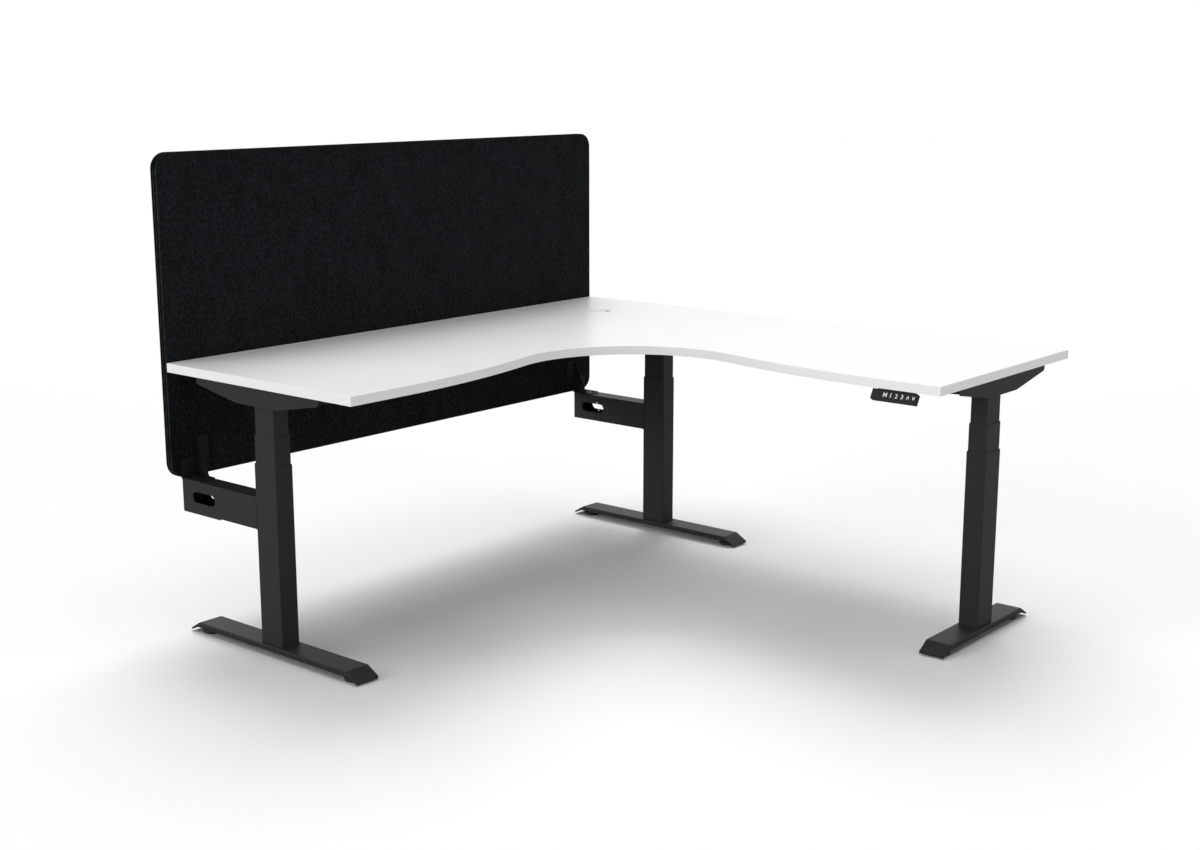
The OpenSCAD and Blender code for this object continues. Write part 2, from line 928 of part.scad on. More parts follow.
// Oblong with its long side along Y
module oblong(w, len) {
    square([w, len - w], center = true);
    for (s = [-1, 1])
        translate([0, s * (len - w) / 2])
            circle(w / 2);
}

// Children at the two bolts that hold a screen bracket's base plate on the arm's top
module at_plate_bolts() {
    for (back = [24, plate_l - 20])
        translate([-8, leg_to_screen - back, arm_top])
            children();
}

// Screws through the tall flange and the low tab into the screen, from the arm's top
tall_screw_x = web_x + tall_w - screen_screw_edge;
tall_screw_z = tall_h - 14;
tall_screw_pitch = 58;
tab_screw_x = column_d / 2 + tab_past - 13.5;
tab_screw_pitch = 24;
tab_screw_z = tab_h - 20;
flange_screw_at = [
    [tall_screw_x, tall_screw_z], [tall_screw_x, tall_screw_z - tall_screw_pitch],
    [-tab_screw_x, tab_screw_z], [tab_screw_pitch - tab_screw_x, tab_screw_z]
];

module at_screen_screws() {
    for (p = flange_screw_at)
        translate([p[0], leg_to_screen, arm_top + p[1]])
            rotate([-90, 0, 0])
                children();
}

// Folded bracket: base plate, web, tall inner flange and low outer tab
module screen_bracket(cut_side) {
    color("#2c2c2e")
        difference() {
            union() {
                translate([0, leg_to_screen - plate_l, arm_top])
                    linear_extrude(plate_t)
                        polygon([
                            [-cut_side * column_d / 2, 0],
                            [cut_side * (column_d / 2 - plate_cut), 0],
                            [cut_side * column_d / 2, plate_cut],
                            [cut_side * column_d / 2, plate_l],
                            [-cut_side * column_d / 2, plate_l]
                        ]);
                translate([web_x - plate_t / 2, 0, arm_top])
                    rotate([0, 90, 0])
                        linear_extrude(plate_t)
                            polygon([
                                [0, leg_to_screen], [0, leg_to_screen - web_l],
                                [-plate_t, leg_to_screen - web_l],
                                [-tall_h, leg_to_screen - web_top_l], [-tall_h, leg_to_screen]
                            ]);
                translate([web_x, leg_to_screen - plate_t, arm_top + tall_from])
                    cube([tall_w, plate_t, tall_h - tall_from]);
                translate([-column_d / 2 - tab_past, leg_to_screen - plate_t, arm_top])
                    cube([web_x + column_d / 2 + tab_past, plate_t, tab_h]);
            }
            at_plate_bolts()
                translate([0, 0, -over])
                    cylinder(r = bracket_bolt_r + slip, h = plate_t + 2 * over, $fn = 32);
            at_screen_screws()
                translate([0, 0, -plate_t - over])
                    cylinder(r = wood_screw_r + slip, h = plate_t + 2 * over, $fn = 24);
        }
}

module bracket_screws() {
    color("dimgray") {
        at_screen_screws() {
            translate([0, 0, -plate_t])
                cylinder(r = wood_screw_r, h = plate_t + screen_screw_in, $fn = 24);
            translate([0, 0, -plate_t - 2])
                cylinder(r = 3.6, h = 2, $fn = 32);
        }
        at_plate_bolts() {
            translate([0, 0, -arm_t - 6])
                cylinder(r = bracket_bolt_r, h = arm_t + plate_t + 6, $fn = 32);
            translate([0, 0, plate_t])
                cylinder(r = 5, h = 4, $fn = 6);
            translate([0, 0, -arm_t - 5])
                difference() {
                    cylinder(r = 5.5, h = 5, $fn = 6);
                    translate([0, 0, -over])
                        cylinder(r = bracket_bolt_r + play, h = 5 + 2 * over, $fn = 32);
                }
        }
    }
}

// One felt ply of the screen; the front ply takes the brackets' screws
module screen_ply(y) {
    translate([0, y + ply_t, screen_z + screen_h / 2])
        rotate([90, 0, 0])
            linear_extrude(ply_t)
                rounded(screen_w, screen_h, screen_r);
}

module screen_front_ply() {
    color("#101114")
        difference() {
            screen_ply(screen_y);
            for (m = [0, 1])
                mirror([m, 0, 0])
                    at_left()
                        at_screen_screws()
                            translate([0, 0, -over])
                                cylinder(r = wood_screw_r + play, h = screen_screw_in + 2 * over, $fn = 24);
        }
}

// Handset: a slab that leans back under the return arm's edge, with a pocket for each key
module on_face() {
    translate([face_mid_x, handset_y, face_mid_z])
        rotate([0, handset_lean - 90, 0])
            children();
}

module at_key(i) {
    on_face()
        translate([0, first_key + i * key_pitch, 0])
            children();
}

module handset_body() {
    color("#252527")
        difference() {
            union() {
                on_face()
                    translate([-handset_face / 2, 0, -handset_t])
                        cube([handset_face, handset_l, handset_t]);
                translate([edge_x, handset_y + handset_l - handset_ear_in, under_z])
                    rotate([90, 0, 0])
                        linear_extrude(handset_l - 2 * handset_ear_in)
                            polygon([
                                [handset_in + handset_t / 4, 0], [handset_ear, 0],
                                [handset_ear, -handset_floor],
                                [handset_in + handset_t, -handset_floor],
                                [handset_in + 0.6 * handset_t, -handset_gap - 0.6 * handset_t],
                                [handset_in + handset_t / 4, -handset_gap - handset_t / 2]
                            ]);
            }
            at_handset_screws()
                translate([0, 0, -handset_floor - over])
                    cylinder(r = wood_screw_r + slip, h = handset_floor + 2 * over, $fn = 24);
            for (i = [0:5])
                at_key(i)
                    translate([0, 0, (key_proud - key_t - key_travel) / 2])
                        cube([key_l + 2 * slip, key_w + 2 * slip,
                              key_t + key_travel + 3 * key_proud], center = true);
        }
}

module key(i) {
    color("#2e2e31")
        at_key(i)
            translate([0, 0, key_proud - key_t / 2])
                cube([key_l, key_w, key_t], center = true);
}

at_left() foot(foot_l);  // left_foot
at_corner() foot(foot_l);  // corner_foot
at_left() outer_tube();  // left_outer_tube
at_corner() outer_tube();  // corner_outer_tube
union() {  // base_pipes
    at_left() base_pipe();
    at_corner() base_pipe();
}
union() {  // outer_guides
    at_left() mouth_guide(column_w, column_d, outer_top);
    at_corner() mouth_guide(column_w, column_d, outer_top);
}
union() {
    at_left() foot_bolts();
    at_corner() foot_bolts();
}
at_left() screen_arm();  // left_screen_arm
at_corner() screen_arm();  // corner_screen_arm
union() {  // screen_brackets
    at_left() screen_bracket(1);
    at_corner() screen_bracket(-1);
}
screen_front_ply();
color("#101114") screen_ply(screen_y + ply_t);  // screen_rear_ply
union() {
    at_left() bracket_screws();
    at_corner() bracket_screws();
}
at_left() middle_tube();  // left_middle_tube
at_left() middle_guides();  // left_middle_guides
at_left() stage_screw();  // left_stage_screw
at_corner() middle_tube();  // corner_middle_tube
at_corner() middle_guides();  // corner_middle_guides
at_corner() stage_screw();  // corner_stage_screw
at_return() middle_tube();  // right_middle_tube
at_return() middle_guides();  // right_middle_guides
at_return() stage_screw();  // right_stage_screw
at_return() foot(return_foot_l);  // right_foot
at_return() outer_tube();  // right_outer_tube
at_return() mouth_guide(column_w, column_d, outer_top);  // right_outer_guide
at_return() base_pipe();  // right_base_pipe
at_return() foot_bolts();  // right_foot_bolts
worktop();
edge_band();
port_ring();
port_lid();
at_left() side_bracket(back_shift);  // left_side_bracket
at_corner() side_bracket(back_shift);  // corner_side_bracket
at_return() side_bracket(side_shift);  // right_side_bracket
under_rails();
at_left() inner_tube();  // left_inner_tube
at_corner() inner_tube();  // corner_inner_tube
at_return() inner_tube();  // right_inner_tube
union() {  // inner_guides
    at_left() tail_guide(inner_w, inner_d, inner_z);
    at_corner() tail_guide(inner_w, inner_d, inner_z);
    at_return() tail_guide(inner_w, inner_d, inner_z);
}
union() {  // gear_motors
    at_left() gear_motor();
    at_corner() gear_motor();
    at_return() gear_motor();
}
at_left() drive_screw();  // left_drive_screw
at_corner() drive_screw();  // corner_drive_screw
at_return() drive_screw();  // right_drive_screw
control_box();
control_sockets();
top_fasteners();
handset_body();
key(5);  // key_memory
key(4);  // key_one
key(3);  // key_two
key(2);  // key_three
key(1);  // key_up
key(0);  // key_down
at_left() glide(foot_l, -1);  // left_front_glide
at_left() glide(foot_l, 1);  // left_back_glide
at_corner() glide(foot_l, -1);  // corner_front_glide
at_corner() glide(foot_l, 1);  // corner_back_glide
at_return() glide(return_foot_l, -1);  // right_inner_glide
at_return() glide(return_foot_l, 1);  // right_outer_glide
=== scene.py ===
import bpy
import bmesh
import json
from math import cos, pi, radians, sin
from mathutils import Matrix, Vector


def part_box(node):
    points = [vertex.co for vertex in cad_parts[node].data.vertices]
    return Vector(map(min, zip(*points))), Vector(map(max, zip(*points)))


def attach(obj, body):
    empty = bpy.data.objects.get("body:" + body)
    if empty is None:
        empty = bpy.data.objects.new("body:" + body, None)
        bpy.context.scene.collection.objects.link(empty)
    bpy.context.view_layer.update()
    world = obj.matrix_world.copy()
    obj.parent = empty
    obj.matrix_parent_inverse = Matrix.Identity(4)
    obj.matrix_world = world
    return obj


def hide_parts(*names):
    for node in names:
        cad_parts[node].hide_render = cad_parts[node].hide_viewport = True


# Height-adjustable corner workstation with a felt privacy screen.
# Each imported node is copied, merged and given soft edges, and the copy stands for it.
# Only the screws and pipes inside the legs keep their own mesh.

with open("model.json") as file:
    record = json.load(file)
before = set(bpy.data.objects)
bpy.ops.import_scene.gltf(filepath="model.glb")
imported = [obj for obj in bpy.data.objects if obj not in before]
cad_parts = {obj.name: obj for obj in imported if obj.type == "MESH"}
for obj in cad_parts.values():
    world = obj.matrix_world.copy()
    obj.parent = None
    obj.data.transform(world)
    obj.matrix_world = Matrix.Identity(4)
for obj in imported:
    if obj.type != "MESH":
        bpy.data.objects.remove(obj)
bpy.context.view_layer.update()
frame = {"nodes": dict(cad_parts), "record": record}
nodes = frame["nodes"]
record = frame["record"]
bodyOf = {}
for bodyName, members in record["behaviour"]["bodies"].items():
    for member in members:
        bodyOf[member] = bodyName
slotOf = {row["node"]: row["material_slot"] for row in record["subparts"]}
scene = bpy.context.scene
print("frame loaded")


# Camera

cameraSet = {"place": (-3.5915, -2.9189, 1.5635), "heading": 39.946, "down": 12.048, "lens": 50,
             "sensor": 36, "reach": 100}


def makeCamera(s):
    data = bpy.data.cameras.new("camera")
    data.lens = s["lens"]
    data.sensor_width = s["sensor"]
    data.sensor_fit = "HORIZONTAL"
    data.clip_end = s["reach"]
    cam = bpy.data.objects.new("camera", data)
    cam.location = s["place"]
    cam.rotation_euler = (radians(90 - s["down"]), 0, radians(s["heading"] - 90))
    scene.collection.objects.link(cam)
    scene.camera = cam


makeCamera(cameraSet)


# Shader helpers

def newMaterial(name):
    mat = bpy.data.materials.new(name)
    mat.use_nodes = True
    mat.node_tree.nodes.clear()
    return mat


def addNode(tree, kind, **values):
    node = tree.nodes.new(kind)
    for key, value in values.items():
        setattr(node, key, value)
    return node


def wire(tree, source, target):
    # a plain number or colour is set on the socket, anything else is linked to it
    if isinstance(source, (int, float, tuple)):
        target.default_value = source
    else:
        tree.links.new(source, target)


def newGroup(name, inputs, outputs):
    tree = bpy.data.node_groups.new(name, "ShaderNodeTree")
    for label, kind, default in inputs:
        socket = tree.interface.new_socket(name=label, in_out="INPUT", socket_type=kind)
        if default is not None:
            socket.default_value = default
    for label, kind in outputs:
        tree.interface.new_socket(name=label, in_out="OUTPUT", socket_type=kind)
    return tree, addNode(tree, "NodeGroupInput"), addNode(tree, "NodeGroupOutput")


def mathNode(tree, operation, a, b=None, clamp=False):
    node = addNode(tree, "ShaderNodeMath", operation=operation, use_clamp=clamp)
    wire(tree, a, node.inputs[0])
    if b is not None:
        wire(tree, b, node.inputs[1])
    return node.outputs[0]


def mapRange(tree, value, low, high, toLow, toHigh):
    node = addNode(tree, "ShaderNodeMapRange")
    wire(tree, value, node.inputs["Value"])
    ends = (("From Min", low), ("From Max", high), ("To Min", toLow), ("To Max", toHigh))
    for label, end in ends:
        wire(tree, end, node.inputs[label])
    return node.outputs["Result"]


def mixColour(tree, factor, a, b, blend="MIX"):
    node = addNode(tree, "ShaderNodeMix", data_type="RGBA", blend_type=blend)
    wire(tree, factor, node.inputs["Factor"])
    wire(tree, a, node.inputs[6])  # the colour sockets of a mix share their names with others
    wire(tree, b, node.inputs[7])
    return node.outputs[2]


def noise(tree, vector, scale, detail, rough):
    node = addNode(tree, "ShaderNodeTexNoise")
    wire(tree, vector, node.inputs["Vector"])
    wire(tree, scale, node.inputs["Scale"])
    wire(tree, detail, node.inputs["Detail"])
    wire(tree, rough, node.inputs["Roughness"])
    return node.outputs["Fac"]


def stretchedNoise(tree, vector, scale, detail, rough):
    # noise with its own scale along X, Y and Z
    node = addNode(tree, "ShaderNodeMapping")
    wire(tree, vector, node.inputs["Vector"])
    wire(tree, scale, node.inputs["Scale"])
    return noise(tree, node.outputs["Vector"], 1.0, detail, rough)


def blended(tree, parts):
    # weighted sum of several patterns
    total = 0.0
    for source, weight in parts:
        total = mathNode(tree, "ADD", total, mathNode(tree, "MULTIPLY", source, weight))
    return total


def dimmed(tree, colour, gain):
    # the colour times a pattern of greys
    grey = addNode(tree, "ShaderNodeCombineColor")
    for socket in grey.inputs:
        wire(tree, gain, socket)
    return mixColour(tree, 1.0, colour, grey.outputs[0], "MULTIPLY")


def normalParts(tree):
    # the surface's direction, as X, Y and Z
    geometry = addNode(tree, "ShaderNodeNewGeometry")
    split = addNode(tree, "ShaderNodeSeparateXYZ")
    wire(tree, geometry.outputs["Normal"], split.inputs[0])
    return split.outputs


def shade(value):
    # grey or colour from 8-bit display values, as the linear colour that a socket takes
    channels = value if isinstance(value, tuple) else (value, value, value)
    linear = []
    for channel in channels:
        c = channel / 255
        linear.append(c / 12.92 if c <= 0.04045 else ((c + 0.055) / 1.055) ** 2.4)
    return (*linear, 1.0)


# Shared effects, each a node group that puts out colours and values. A pattern's row is its
# scale, detail and roughness, and a range's row is from low, from high, to low, to high

# the fine pattern takes its scale from each finish's grain
speckleSet = {"fine": (2.0, 0.6), "cloud": (7.0, 3.0, 0.55), "fineShare": 0.92,
              "cloudShare": 0.08, "low": 0.3, "high": 0.7}


def buildSpeckle(s):
    # fine texture of a coating or a moulding: colour drift, roughness drift and height
    inputs = [("Vector", "NodeSocketVector", None), ("Colour", "NodeSocketColor", (1, 1, 1, 1)),
              ("Grain", "NodeSocketFloat", 1500.0), ("Drift", "NodeSocketFloat", 0.1),
              ("Roughness", "NodeSocketFloat", 0.5), ("Roughness Drift", "NodeSocketFloat", 0.08)]
    outputs = [("Colour", "NodeSocketColor"), ("Roughness", "NodeSocketFloat"),
               ("Height", "NodeSocketFloat")]
    tree, take, give = newGroup("speckle", inputs, outputs)
    fine = noise(tree, take.outputs["Vector"], take.outputs["Grain"], *s["fine"])
    cloud = noise(tree, take.outputs["Vector"], *s["cloud"])
    both = blended(tree, ((fine, s["fineShare"]), (cloud, s["cloudShare"])))
    darkest = mathNode(tree, "SUBTRACT", 1.0, take.outputs["Drift"])
    lightest = mathNode(tree, "ADD", 1.0, take.outputs["Drift"])
    gain = mapRange(tree, both, s["low"], s["high"], darkest, lightest)
    wire(tree, dimmed(tree, take.outputs["Colour"], gain), give.inputs["Colour"])
    centred = mathNode(tree, "MULTIPLY", mathNode(tree, "SUBTRACT", cloud, 0.5),
                       take.outputs["Roughness Drift"])
    wire(tree, mathNode(tree, "ADD", take.outputs["Roughness"], centred), give.inputs["Roughness"])
    wire(tree, fine, give.inputs["Height"])
    return tree


wearAndHighlightSet = {"patches": (55.0, 3.0, 0.6), "broken": (0.42, 0.62, 0.25, 1.0)}


def buildEdgeWearAndHighlight(s):
    # lightens the rounded edges a little, broken up by noise: worn edges on the coats and metals,
    # a painted highlight on the felt's rounds. Reads the attribute softEdge
    inputs = [("Vector", "NodeSocketVector", None), ("Colour", "NodeSocketColor", (1, 1, 1, 1)),
              ("Worn Colour", "NodeSocketColor", (1, 1, 1, 1)), ("Amount", "NodeSocketFloat", 0.3)]
    outputs = [("Colour", "NodeSocketColor")]
    tree, take, give = newGroup("edgeWearAndHighlight", inputs, outputs)
    edge = addNode(tree, "ShaderNodeAttribute", attribute_name="softEdge")
    broken = mapRange(tree, noise(tree, take.outputs["Vector"], *s["patches"]), *s["broken"])
    mask = mathNode(tree, "MULTIPLY", mathNode(tree, "MULTIPLY", edge.outputs["Fac"], broken),
                    take.outputs["Amount"], clamp=True)
    wire(tree, mixColour(tree, mask, take.outputs["Colour"], take.outputs["Worn Colour"]),
         give.inputs["Colour"])
    return tree


dustSet = {"upward": (0.6, 1.0, 0.0, 1.0), "patches": (9.0, 4.0, 0.65),
           "patchy": (0.35, 0.75, 0.2, 1.0)}


def buildDust(s):
    # a trace of pale dust that settles on faces that look up
    inputs = [("Vector", "NodeSocketVector", None), ("Colour", "NodeSocketColor", (1, 1, 1, 1)),
              ("Dust Colour", "NodeSocketColor", (0.6, 0.6, 0.6, 1)),
              ("Amount", "NodeSocketFloat", 0.1)]
    outputs = [("Colour", "NodeSocketColor")]
    tree, take, give = newGroup("dust", inputs, outputs)
    upward = mapRange(tree, normalParts(tree)["Z"], *s["upward"])
    patchy = mapRange(tree, noise(tree, take.outputs["Vector"], *s["patches"]), *s["patchy"])
    mask = mathNode(tree, "MULTIPLY", mathNode(tree, "MULTIPLY", upward, patchy),
                    take.outputs["Amount"], clamp=True)
    wire(tree, mixColour(tree, mask, take.outputs["Colour"], take.outputs["Dust Colour"]),
         give.inputs["Colour"])
    return tree


woolSet = {"mottle": ((165, 165, 95), 2.0, 0.6), "upright": ((420, 420, 90), 3.0, 0.65),
           "cloud": ((24, 24, 10), 3.0, 0.6), "fibre": ((1500, 1500, 260), 2.0, 0.6),
           "shares": {"mottle": 0.5, "upright": 0.2, "cloud": 0.15, "fibre": 0.15},
           "tone": (0.44, 0.6, 0.0, 1.0), "lint": (330.0, 1.0, 0.5),
           "lintTone": (0.69, 0.75, 0.0, 0.7), "roughness": (0.3, 0.7, 0.86, 1.0)}


def buildFelt(s):
    # pressed felt: mottled wool with short fibres laid mostly upright, and fine fuzz as height
    inputs = [("Vector", "NodeSocketVector", None), ("Dark", "NodeSocketColor", (0, 0, 0, 1)),
              ("Light", "NodeSocketColor", (0.1, 0.1, 0.1, 1)), ("Fleck", "NodeSocketFloat", 0.5)]
    outputs = [("Colour", "NodeSocketColor"), ("Height", "NodeSocketFloat"),
               ("Roughness", "NodeSocketFloat")]
    tree, take, give = newGroup("felt", inputs, outputs)
    vector = take.outputs["Vector"]
    pattern = {part: stretchedNoise(tree, vector, *s[part]) for part in s["shares"]}
    blend = blended(tree, [(pattern[part], share) for part, share in s["shares"].items()])
    tone = mathNode(tree, "MULTIPLY", mapRange(tree, blend, *s["tone"]), take.outputs["Fleck"])
    lint = mapRange(tree, noise(tree, vector, *s["lint"]), *s["lintTone"])
    tone = mathNode(tree, "ADD", tone, lint, clamp=True)
    wire(tree, mixColour(tree, tone, take.outputs["Dark"], take.outputs["Light"]),
         give.inputs["Colour"])
    height = blended(tree, ((pattern["fibre"], 0.5), (pattern["mottle"], 0.5)))
    wire(tree, height, give.inputs["Height"])
    wire(tree, mapRange(tree, pattern["upright"], *s["roughness"]), give.inputs["Roughness"])
    return tree


brushedSet = {"marks": ((60, 60, 2600), 3.0, 0.6), "gain": (0.3, 0.7, 0.86, 1.08),
              "spread": (0.3, 0.7, -0.08, 0.08)}


def buildBrushed(s):
    # turning or brushing marks along Z
    inputs = [("Vector", "NodeSocketVector", None), ("Colour", "NodeSocketColor", (1, 1, 1, 1)),
              ("Roughness", "NodeSocketFloat", 0.35)]
    outputs = [("Colour", "NodeSocketColor"), ("Roughness", "NodeSocketFloat"),
               ("Height", "NodeSocketFloat")]
    tree, take, give = newGroup("brushed", inputs, outputs)
    marks = stretchedNoise(tree, take.outputs["Vector"], *s["marks"])
    gain = mapRange(tree, marks, *s["gain"])
    wire(tree, dimmed(tree, take.outputs["Colour"], gain), give.inputs["Colour"])
    spread = mapRange(tree, marks, *s["spread"])
    wire(tree, mathNode(tree, "ADD", take.outputs["Roughness"], spread), give.inputs["Roughness"])
    wire(tree, marks, give.inputs["Height"])
    return tree


speckle = buildSpeckle(speckleSet)
edgeWearAndHighlight = buildEdgeWearAndHighlight(wearAndHighlightSet)
dust = buildDust(dustSet)
felt = buildFelt(woolSet)
brushed = buildBrushed(brushedSet)


# Materials

def placeGroup(tree, group, vector, **values):
    node = addNode(tree, "ShaderNodeGroup", node_tree=group)
    wire(tree, vector, node.inputs["Vector"])
    for label, value in values.items():
        wire(tree, value, node.inputs[label.replace("_", " ")])
    return node


def startMaterial(name):
    mat = newMaterial(name)
    tree = mat.node_tree
    coord = addNode(tree, "ShaderNodeTexCoord")
    bsdf = addNode(tree, "ShaderNodeBsdfPrincipled")
    out = addNode(tree, "ShaderNodeOutputMaterial")
    wire(tree, bsdf.outputs[0], out.inputs["Surface"])
    return mat, tree, coord.outputs["Object"], bsdf


def addBump(tree, bsdf, height, strength, depth):
    bump = addNode(tree, "ShaderNodeBump")
    wire(tree, strength, bump.inputs["Strength"])
    wire(tree, depth, bump.inputs["Distance"])
    wire(tree, height, bump.inputs["Height"])
    wire(tree, bump.outputs["Normal"], bsdf.inputs["Normal"])


coatDepth = 0.0002  # height of the speckle


def coatedMaterial(name, s):
    # powder coat or moulded plastic: speckled colour, worn edges, a trace of dust
    mat, tree, vector, bsdf = startMaterial(name)
    grain = placeGroup(tree, speckle, vector, Colour=shade(s["colour"]), Grain=s["grain"],
                       Drift=s["drift"], Roughness=s["roughness"],
                       Roughness_Drift=s["roughnessDrift"])
    worn = placeGroup(tree, edgeWearAndHighlight, vector, Colour=grain.outputs["Colour"],
                      Worn_Colour=shade(s["wornColour"]), Amount=s["wear"])
    dusty = placeGroup(tree, dust, vector, Colour=worn.outputs["Colour"],
                       Dust_Colour=shade(s["dustColour"]), Amount=s["dust"])
    wire(tree, dusty.outputs["Colour"], bsdf.inputs["Base Color"])
    wire(tree, grain.outputs["Roughness"], bsdf.inputs["Roughness"])
    wire(tree, s["gloss"], bsdf.inputs["Specular IOR Level"])
    addBump(tree, bsdf, grain.outputs["Height"], s["bump"], coatDepth)
    return mat


def feltMaterial(name, s):
    # painted shade and painted highlight: the sides of the plies and their top round are painted
    # dark, and the round beside their faces is painted paler than the wool
    mat, tree, vector, bsdf = startMaterial(name)
    wool = placeGroup(tree, felt, vector, Dark=shade(s["dark"]), Light=shade(s["light"]),
                      Fleck=s["fleck"])
    # painted highlight: the rounds beside the plies' faces are lightened to a paler colour than
    # the wool
    rim = placeGroup(tree, edgeWearAndHighlight, vector, Colour=wool.outputs["Colour"],
                     Worn_Colour=shade(s["paintedHighlightColour"]), Amount=s["rim"])
    # painted shade: faces that turn away from plus or minus Y, and rounds that look up, are
    # darkened to a near-black colour
    normal = normalParts(tree)
    upward = mathNode(tree, "MULTIPLY", mathNode(tree, "MAXIMUM", normal["Z"], 0.0),
                      s["topPaintedShade"])
    facing = mathNode(tree, "SUBTRACT", mathNode(tree, "ABSOLUTE", normal["Y"]), upward)
    paintedShade = mapRange(tree, facing, *s["paintedShade"])
    wire(tree, mixColour(tree, paintedShade, rim.outputs["Colour"], shade(s["paintedShadeColour"])),
         bsdf.inputs["Base Color"])
    wire(tree, wool.outputs["Roughness"], bsdf.inputs["Roughness"])
    wire(tree, s["gloss"], bsdf.inputs["Specular IOR Level"])
    addBump(tree, bsdf, wool.outputs["Height"], s["bump"], s["depth"])
    return mat


def metalMaterial(name, s):
    mat, tree, vector, bsdf = startMaterial(name)
    lathe = placeGroup(tree, brushed, vector, Colour=shade(s["colour"]), Roughness=s["roughness"])
    worn = placeGroup(tree, edgeWearAndHighlight, vector, Colour=lathe.outputs["Colour"],
                      Worn_Colour=shade(s["wornColour"]), Amount=s["wear"])
    wire(tree, worn.outputs["Colour"], bsdf.inputs["Base Color"])
    wire(tree, lathe.outputs["Roughness"], bsdf.inputs["Roughness"])
    wire(tree, 1.0, bsdf.inputs["Metallic"])
    addBump(tree, bsdf, lathe.outputs["Height"], s["bump"], s["depth"])
    return mat


finishes = {
    "black_coat": {"gloss": 0.15, "colour": 40, "grain": 900, "drift": 0.08, "roughness": 0.5,
                   "roughnessDrift": 0.02, "wornColour": 66, "wear": 0.25, "dustColour": 90,
                   "dust": 0.02, "bump": 0.25},
    # painted shade: darker than black_coat to stand for the screen's shadow on the brackets; its
    # lower gloss is the finish's own
    "bracket_black_painted_shade": {"gloss": 0.08, "colour": 31, "grain": 900, "drift": 0.07, "roughness": 0.5,
                      "roughnessDrift": 0.05, "wornColour": 58, "wear": 0.3, "dustColour": 80,
                      "dust": 0.01, "bump": 0.25},
    "white_board": {"gloss": 0.35, "colour": 247, "grain": 900, "drift": 0.012, "roughness": 0.34,
                    "roughnessDrift": 0.06, "wornColour": 250, "wear": 0.1, "dustColour": 225,
                    "dust": 0.05, "bump": 0.05},
    "white_edge": {"gloss": 0.4, "colour": 250, "grain": 1200, "drift": 0.015, "roughness": 0.45,
                   "roughnessDrift": 0.06, "wornColour": 245, "wear": 0.2, "dustColour": 225,
                   "dust": 0.0, "bump": 0.06},
    "port_plastic": {"gloss": 0.5, "colour": 232, "grain": 2200, "drift": 0.01, "roughness": 0.5,
                     "roughnessDrift": 0.05, "wornColour": 245, "wear": 0.1, "dustColour": 215,
                     "dust": 0.05, "bump": 0.12},
    "guide_plastic": {"gloss": 0.35, "colour": 20, "grain": 1800, "drift": 0.1, "roughness": 0.55,
                      "roughnessDrift": 0.1, "wornColour": 60, "wear": 0.2, "dustColour": 110,
                      "dust": 0.03, "bump": 0.15},
    "case_plastic": {"gloss": 0.18, "colour": 21, "grain": 2400, "drift": 0.1, "roughness": 0.48,
                     "roughnessDrift": 0.08, "wornColour": 70, "wear": 0.2, "dustColour": 120,
                     "dust": 0.04, "bump": 0.2},
    "socket_plastic": {"gloss": 0.35, "colour": 18, "grain": 2400, "drift": 0.1, "roughness": 0.4,
                       "roughnessDrift": 0.08, "wornColour": 50, "wear": 0.2, "dustColour": 110,
                       "dust": 0.02, "bump": 0.1},
    "key_plastic": {"gloss": 0.24, "colour": 27, "grain": 2600, "drift": 0.08, "roughness": 0.55,
                    "roughnessDrift": 0.06, "wornColour": 72, "wear": 0.25, "dustColour": 120,
                    "dust": 0.02, "bump": 0.15},
    "glide_plastic": {"gloss": 0.35, "colour": 24, "grain": 1500, "drift": 0.12, "roughness": 0.55,
                      "roughnessDrift": 0.1, "wornColour": 66, "wear": 0.3, "dustColour": 130,
                      "dust": 0.06, "bump": 0.2},
    "legend": {"gloss": 0.3, "colour": 235, "grain": 2600, "drift": 0.02, "roughness": 0.5,
               "roughnessDrift": 0.04, "wornColour": 220, "wear": 0.0, "dustColour": 200,
               "dust": 0.0, "bump": 0.03},
}
metals = {
    "bright_steel": {"colour": 168, "roughness": 0.3, "wornColour": 215, "wear": 0.3,
                     "bump": 0.15, "depth": 0.0001},
    "zinc_fasteners": {"colour": 128, "roughness": 0.38, "wornColour": 190, "wear": 0.3,
                       "bump": 0.15, "depth": 0.0001},
    "motor_metal": {"colour": 132, "roughness": 0.5, "wornColour": 185, "wear": 0.35,
                    "bump": 0.15, "depth": 0.0001},
}
# the rim colour and rim amount paint a highlight on the felt's rounds; the cut colour and range,
# with the top weight, paint shade on its sides and top round
feltSet = {"dark": (13, 15, 16), "light": (41, 46, 49), "fleck": 0.66, "paintedHighlightColour": 66,
           "rim": 0.8, "paintedShadeColour": 2, "paintedShade": (0.05, 0.3, 0.97, 0.0), "topPaintedShade": 3.0,
           "gloss": 0.06, "bump": 0.6, "depth": 0.0008}

materials = {name: coatedMaterial(name, s) for name, s in finishes.items()}
materials.update({name: metalMaterial(name, s) for name, s in metals.items()})
materials["felt"] = feltMaterial("felt", feltSet)
print("materials built")


